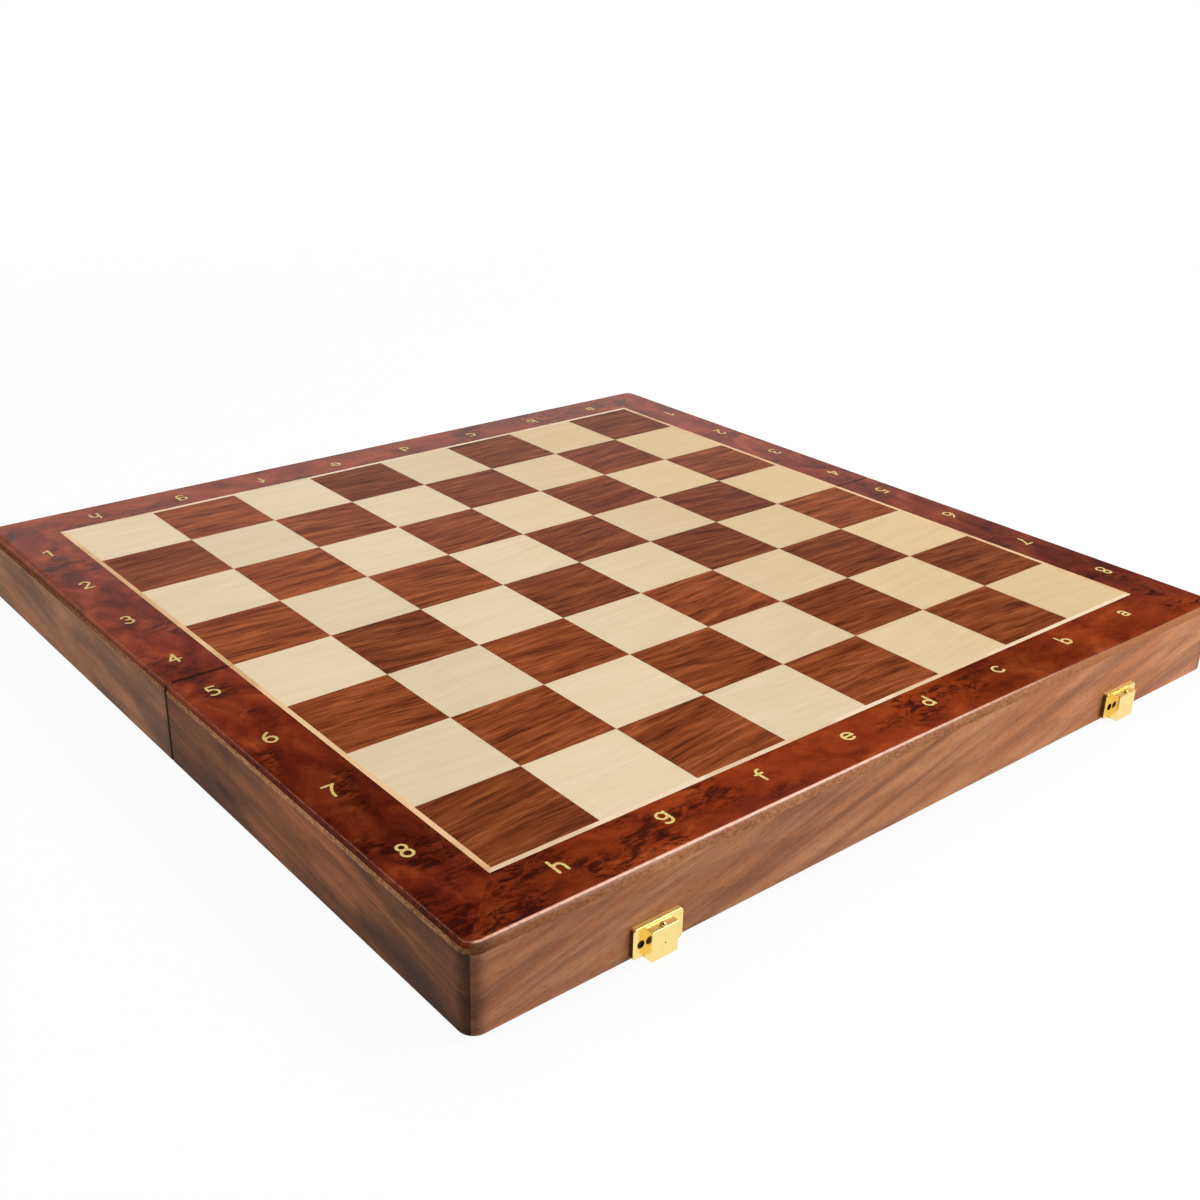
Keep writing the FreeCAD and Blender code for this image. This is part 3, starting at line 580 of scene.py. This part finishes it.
def squares(name, tones, spread, line_depth, ring_share, right_tint):
    """Veneer squares cut from one wood: the grain runs along X, and each has its own tone, tilt and place in
    the wood. The spread is how far their tones differ, and a darker tint fades in over them toward the right."""
    made = Finish(name, **lacquer(0.25, 0.1))
    cell = made.vector("FLOOR", made.stretched(made.here, (SQUARE, SQUARE, FAR_AWAY)))
    drawn = made.random(made.vector("ADD", cell, (3.7, 1.3, 0)))
    tilt = made.between(drawn.outputs["Value"], -CUT_TILT, CUT_TILT)
    apart = made.vector("MULTIPLY", drawn.outputs["Color"], (CUT_APART, CUT_APART, 0))
    grain = made.vector("ADD", made.turned(made.here, (0, 0, 1), tilt), apart)
    wander = made.noise(made.stretched(grain, (26, 12, 50)))
    sideways = made.node("CombineXYZ", {1: made.times(wander, 5.0)}).outputs[0]
    bent = made.vector("ADD", grain, sideways)

    broad = made.noise(made.stretched(bent, (32, 3.4, 50)), detail=3, roughness=0.6)
    fine = made.noise(made.stretched(bent, (10, 0.42, 50)), detail=3, roughness=0.65)
    dark_lines = made.patches(made.stretched(bent, (16, 0.8, 50), (5, 5, 5)), 0.53, 0.66)
    tone = made.ramp(broad, *tones)
    tone = made.shaded(tone, made.math("SUBTRACT", 1.0, made.times(dark_lines, ring_share)))
    tone = made.speckled(tone, fine, line_depth)
    tone = made.mix(made.fade(made.x, -60, 150), tone, made.mix(1.0, tone, right_tint, blend="MULTIPLY"))
    own = made.random(made.vector("ADD", cell, (9.1, 4.9, 0))).outputs["Value"]
    tone = made.varied(tone, own, 1 - spread, 1 + spread * 0.6)
    made.colour(tone)
    made.roughness(fine, 0.3, 0.42)
    made.bump(fine, 0.02, 0.25)
    return made.material


def stringing(name, pale, deep):
    """A thin line of plain pale veneer."""
    made = Finish(name, **lacquer(0.25, 0.14))
    grain = made.noise(made.stretched(made.here, (1.4, 1.4, 30)), detail=3)
    deeper = made.patches(made.stretched(made.here, (30, 30, 30)), 0.4, 0.6)
    made.colour(made.varied(made.mix(deeper, pale, deep), grain, 0.88, 1.1))
    made.roughness(grain, 0.32, 0.46)
    return made.material


def inlay():
    """Pale gold inlay, satin, with a dark side where it stands in the veneer."""
    made = Finish("pale_gold_inlay", Metallic=0.35, Specular_IOR_Level=0.3, Coat_Weight=0.3,
                  Coat_Roughness=0.15)
    grain = made.noise(made.stretched(made.here, (0.7, 0.7, 0.7)), detail=3)
    tone = made.ramp(grain, *INLAY_GOLD)
    made.colour(made.mix(made.fade(made.facing()[2], 0.8, 0.3), tone, INLAY_SIDE))
    made.roughness(grain, 0.3, 0.5)
    return made.material


def plate_edge(made, facing):
    """1 on the cut edges of a plate on the near or far wall, and 0 on its face, its top and further out."""
    edgewise = made.fade(made.unsigned(facing[1]), 0.6, 0.3)
    on_plate = made.fade(made.unsigned(made.y), CATCH_PLATE_FACE - 0.05, CATCH_PLATE_FACE - 0.15)
    edgewise = made.times(edgewise, made.fade(facing[2], 0.8, 0.5))
    return made.times(edgewise, on_plate)


def metal(name, tones, smooth, rough, tarnish=0.25, wear_mm=0.006, edge_shade=0.0, dull_tops=0.0):
    """Metal with faint wear: in small marks, its roughness goes from smooth to rough and its tone from bright
    to tarnished. The cut edges of a latch's plate get painted shade, for the dark they reflect, by the share
    given for them, and faces that look up are rougher by dull_tops."""
    bright, tarnished = tones
    made = Finish(name, Metallic=1.0)
    facing = made.facing()
    drift = made.noise(made.stretched(made.here, (2.2, 2.2, 2.2)), detail=4, roughness=0.6)
    marks = made.noise(made.stretched(made.here, (0.35, 0.35, 3.2)), detail=3)
    tone = made.mix(made.times(made.fade(drift, 0.45, 0.75), tarnish), bright, tarnished)
    if edge_shade:
        # Painted shade on the plate's cut edges, for the dark they reflect
        tone = made.mix(made.times(plate_edge(made, facing), edge_shade), tone, PLATE_EDGE_SHADE)
    made.colour(tone)
    dull = made.times(made.fade(facing[2], 0.8, 0.95), dull_tops)
    made.put(made.shader.inputs["Roughness"], made.math("ADD", made.between(drift, smooth, rough), dull))
    made.bump(marks, wear_mm, 0.25)
    return made.material


def felt_finish():
    """Short-pile felt."""
    made = Finish("green_felt", Roughness=0.95, Specular_IOR_Level=0.1, Sheen_Weight=0.5, Sheen_Roughness=0.5)
    fibre_places = made.stretched(made.here, (0.5, 0.5, 0.5))
    fibres = made.noise(fibre_places, detail=5, roughness=0.7, distortion=1.2)
    patches = made.noise(made.stretched(made.here, (30, 30, 30)))
    made.colour(made.varied(made.ramp(fibres, *FELT_GREEN), patches, 0.85, 1.12))
    made.bump(fibres, 0.25, 0.8)
    return made.material


def both_halves(*names):
    """The names of these pieces in the near and in the far half."""
    return [half + name for half in ("near_", "far_") for name in names]


def dress(material, names):
    """Gives the CAD pieces of these names a material."""
    for name in names:
        for place in nodes[name].material_slots:
            place.material = material


def dress_rails():
    near = walnut("walnut_near", "x", BROWN_WALNUT, shift=4.0, slope=14, broad=0.5, fine=0.46,
                  drift=(0.82, 1.22))
    far = walnut("walnut_far", "x", BROWN_WALNUT, shift=57.0, slope=7)
    seam = walnut("walnut_seam", "x", BROWN_WALNUT, shift=81.0, slope=2)
    dress(near, ["near_outer_rail"])
    dress(far, ["far_outer_rail"])
    dress(seam, both_halves("seam_rail"))
    for name, tones, shift, stains in SIDE_RAILS:
        wood = walnut("walnut_" + name, "y", tones, shift, slope=-6, smoke=0.8, broad=0.22, fine=0.8,
                      gloss=0.12, stains=stains)
        dress(wood, [name])


def dress_borders():
    near = border_veneer("near_border", "x", BRIGHT_VENEER, NEAR_BORDER_SMUDGES)
    far = border_veneer("far_border", "x", BRIGHT_VENEER)
    sides = border_veneer("side_border", "y", DEEP_VENEER, SIDE_BORDER_SMUDGES)
    dress(near, ["near_outer_border"])
    dress(far, ["far_outer_border"])
    dress(sides, both_halves("left_border", "right_border"))
    dress(panel_edge("near_panel_edge", NEAR_BORDER_SMUDGES), ["near_top_panel"])
    dress(panel_edge("far_panel_edge", ()), ["far_top_panel"])


def dress_squares():
    dark = squares("dark_squares", DARK_SQUARE, spread=0.3, line_depth=0.4, ring_share=0.5, right_tint=DARK_RIGHT_TINT)
    light = squares("light_squares", LIGHT_SQUARE, spread=0.05, line_depth=0.03, ring_share=0.015,
                    right_tint=LIGHT_RIGHT_TINT)
    dress(dark, both_halves("dark_squares"))
    dress(light, both_halves("light_squares"))
    dress(stringing("peach_stringing", *PEACH_STRINGING), both_halves("left_stringing", "right_stringing"))
    dress(stringing("cream_stringing", *CREAM_STRINGING), both_halves("outer_stringing"))
    dress(inlay(), both_halves("letters", "numbers"))


def dress_metal():
    latch = metal("latch_gold", LATCH_GOLD, smooth=0.13, rough=0.24, wear_mm=0.002, edge_shade=0.8,
                  dull_tops=0.4)
    hinge = metal("hinge_brass", HINGE_BRASS, smooth=0.16, rough=0.34, tarnish=0.5)
    screw = metal("screw_brass", SCREW_BRASS, smooth=0.22, rough=0.4, tarnish=0.6)
    nail = metal("browned_nail", NAIL_BROWN, smooth=0.35, rough=0.6, tarnish=0.7)
    wire = metal("drawn_wire", WIRE_STEEL, smooth=0.2, rough=0.4, tarnish=0.5)
    for side in ("left_", "right_"):
        dress(latch, [side + "catch", side + "catch_stud", side + "hasp_base", side + "hasp_loop"])
        dress(hinge, [side + "hinge_near_leaf", side + "hinge_far_leaf"])
        dress(screw, [side + "hinge_near_screws", side + "hinge_far_screws"])
        dress(nail, [side + "catch_nails", side + "hasp_nails"])
        dress(wire, [side + "hinge_pin", side + "hasp_pin"])


def unevenness(x, y, layer, waves):
    """A smooth random value of 0 to 1 at a place on the felt, with so many waves to a metre."""
    return 0.5 + 0.5 * noise.noise(Vector((x, y, layer)) * waves)


def felt_face(shape, low, high, columns, rows, glued):
    """The points of one face of the felt, row by row. The glued face lies flat under the panel. The other one
    is uneven with pile and rolls up at its rim. The cut edge wavers on both."""
    size = high - low
    points = []
    for row in range(rows + 1):
        for column in range(columns + 1):
            x = low.x + size.x * column / columns
            y = low.y + size.y * row / rows
            at_rim = column in (0, columns) or row in (0, rows)
            roll = FELT_ROLL * size.z if at_rim else 0.0
            pile = FELT_PILE * unevenness(x, y, layer=0, waves=FELT_FACE_WAVES)
            inward = 2 * FELT_PILE * unevenness(x, y, layer=3, waves=FELT_EDGE_WAVES)
            if column in (0, columns):
                x += inward if column == 0 else -inward
            if row in (0, rows):
                y += inward if row == 0 else -inward
            z = high.z if glued else low.z + pile + roll
            points.append(shape.verts.new((x, y, z)))
    return points


def felt_mesh(name, low, high):
    """A sheet of felt as one closed mesh: two faces of small cells and a rim that joins them."""
    size = high - low
    columns = round(size.x / FELT_CELL)
    rows = round(size.y / FELT_CELL)
    across = columns + 1
    shape = bmesh.new()
    bottom = felt_face(shape, low, high, columns, rows, glued=False)
    top = felt_face(shape, low, high, columns, rows, glued=True)
    for row in range(rows):
        for column in range(columns):
            start = row * across + column
            corners = (start, start + 1, start + across + 1, start + across)
            shape.faces.new([bottom[i] for i in reversed(corners)])
            shape.faces.new([top[i] for i in corners])
    rim = list(range(across))
    rim += [row * across + columns for row in range(1, rows + 1)]
    rim += [rows * across + column for column in reversed(range(columns))]
    rim += [row * across for row in reversed(range(1, rows))]
    for here, there in zip(rim, rim[1:] + rim[:1]):
        shape.faces.new((bottom[here], bottom[there], top[there], top[here]))
    mesh = bpy.data.meshes.new(name)
    shape.to_mesh(mesh)
    shape.free()
    mesh.shade_smooth()
    return mesh


def lay_felt(half, finish):
    """The felt of one half, in place of the plain lining and glued under the panel."""
    lining = half + "_felt_lining"
    low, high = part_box(lining)
    mesh = felt_mesh(half + "_felt", low, high)
    mesh.materials.append(finish)
    piece = bpy.data.objects.new(half + "_felt", mesh)
    bpy.context.scene.collection.objects.link(piece)
    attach(piece, half + "_half")
    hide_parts(lining)


def make_camera():
    back = -CAMERA_AHEAD.normalized()
    right = CAMERA_AHEAD.cross(CAMERA_UP).normalized()
    axes = Matrix((right, back.cross(right), back)).transposed()
    camera = bpy.data.objects.new("camera", bpy.data.cameras.new("camera"))
    camera.data.lens = FOCAL_PIXELS / IMAGE_PIXELS * SENSOR_MM
    camera.data.sensor_width = SENSOR_MM
    camera.data.clip_start, camera.data.clip_end = CAMERA_REACH
    camera.matrix_world = Matrix.Translation(CAMERA_PLACE) @ axes.to_4x4()
    bpy.context.scene.collection.objects.link(camera)
    bpy.context.scene.camera = camera


def seen_rays(made):
    """1 for rays of the camera, of reflections and through glass, which all see the white background."""
    rays = made.node("LightPath").outputs
    seen = made.math("MAXIMUM", rays["Is Camera Ray"], rays["Is Glossy Ray"])
    return made.math("MAXIMUM", seen, rays["Is Transmission Ray"])


def make_world():
    """Even light from all round, and a white background. Its reflections darken above the horizon, later at
    the back, where the backdrop stands higher."""
    world = bpy.data.worlds.new("studio")
    world.use_nodes = True
    bpy.context.scene.world = world
    made = Nodes(world.node_tree)
    light = made.tree.nodes["Background"]
    light.inputs["Color"].default_value = (1, 1, 1, 1)
    light.inputs["Strength"].default_value = AMBIENT
    toward = made.node("TexCoord").outputs["Generated"]
    leaning = made.node("VectorMath", {0: toward, 1: (0, -BACKDROP_LEAN, 1)}, operation="DOT_PRODUCT")
    white = made.fade(leaning.outputs["Value"], WHITE_BELOW, DARK_ABOVE, low=1.0, high=OVERHEAD)
    white = made.math("MAXIMUM", white, made.node("LightPath").outputs["Is Camera Ray"])
    shown = made.node("Background", {"Color": white})
    made.finish_with("World Output", seen_rays(made), light.outputs[0], shown.outputs[0])


def floor_finish():
    """Pale and matt. Seen directly or in a reflection, the floor is nearly clear and as white as what lies
    behind it. The share of it that is left shows the board's shadow, and fades out around the board. Shadow
    rays pass it."""
    material = bpy.data.materials.new("pale_floor")
    material.use_nodes = True
    made = Nodes(material.node_tree)
    surface = made.tree.nodes["Principled BSDF"]
    surface.inputs["Base Color"].default_value = FLOOR_GREY
    surface.inputs["Roughness"].default_value = 0.9
    surface.inputs["Specular IOR Level"].default_value = 0.1
    away = made.length(made.node("TexCoord").outputs["Object"])
    clear = made.fade(away, *SHADOW_REACH, low=1 - SHADOW_KEPT, high=1.0)
    clear = made.times(seen_rays(made), clear)
    clear = made.math("MAXIMUM", clear, made.node("LightPath").outputs["Is Shadow Ray"])
    see_through = made.node("BsdfTransparent").outputs[0]
    made.finish_with("Material Output", clear, surface.outputs[0], see_through)
    return material


def make_floor():
    """A plain floor under the board. It is thin as a film to the eye, so the half that folds down past it
    stays in view."""
    half = FLOOR_SIZE / 2
    corners = ((-half, -half), (half, -half), (half, half), (-half, half))
    mesh = bpy.data.meshes.new("floor")
    mesh.from_pydata([(x, y, cad_low.z) for x, y in corners], [], [(0, 1, 2, 3)])
    mesh.materials.append(floor_finish())
    floor = bpy.data.objects.new("floor", mesh)
    bpy.context.scene.collection.objects.link(floor)


def make_lamps():
    """Soft lamps, each turned to the middle of the board."""
    for name, place, size, power in LAMPS:
        lamp = bpy.data.lights.new(name, "AREA")
        lamp.shape = "ELLIPSE"
        lamp.size, lamp.size_y = size
        lamp.energy = power
        holder = bpy.data.objects.new(name, lamp)
        back = Vector(place).normalized()
        along = (Vector((1, 0, 0)) - back * back.x).normalized()
        axes = Matrix((along, back.cross(along), back)).transposed()
        holder.matrix_world = Matrix.Translation(place) @ axes.to_4x4()
        holder.visible_camera = False
        bpy.context.scene.collection.objects.link(holder)


make_camera()
make_world()
make_floor()
make_lamps()
dress_rails()
dress_borders()
dress_squares()
dress_metal()
green_felt = felt_finish()
for half in ("near", "far"):
    lay_felt(half, green_felt)

bpy.context.scene.view_settings.view_transform = "Standard"
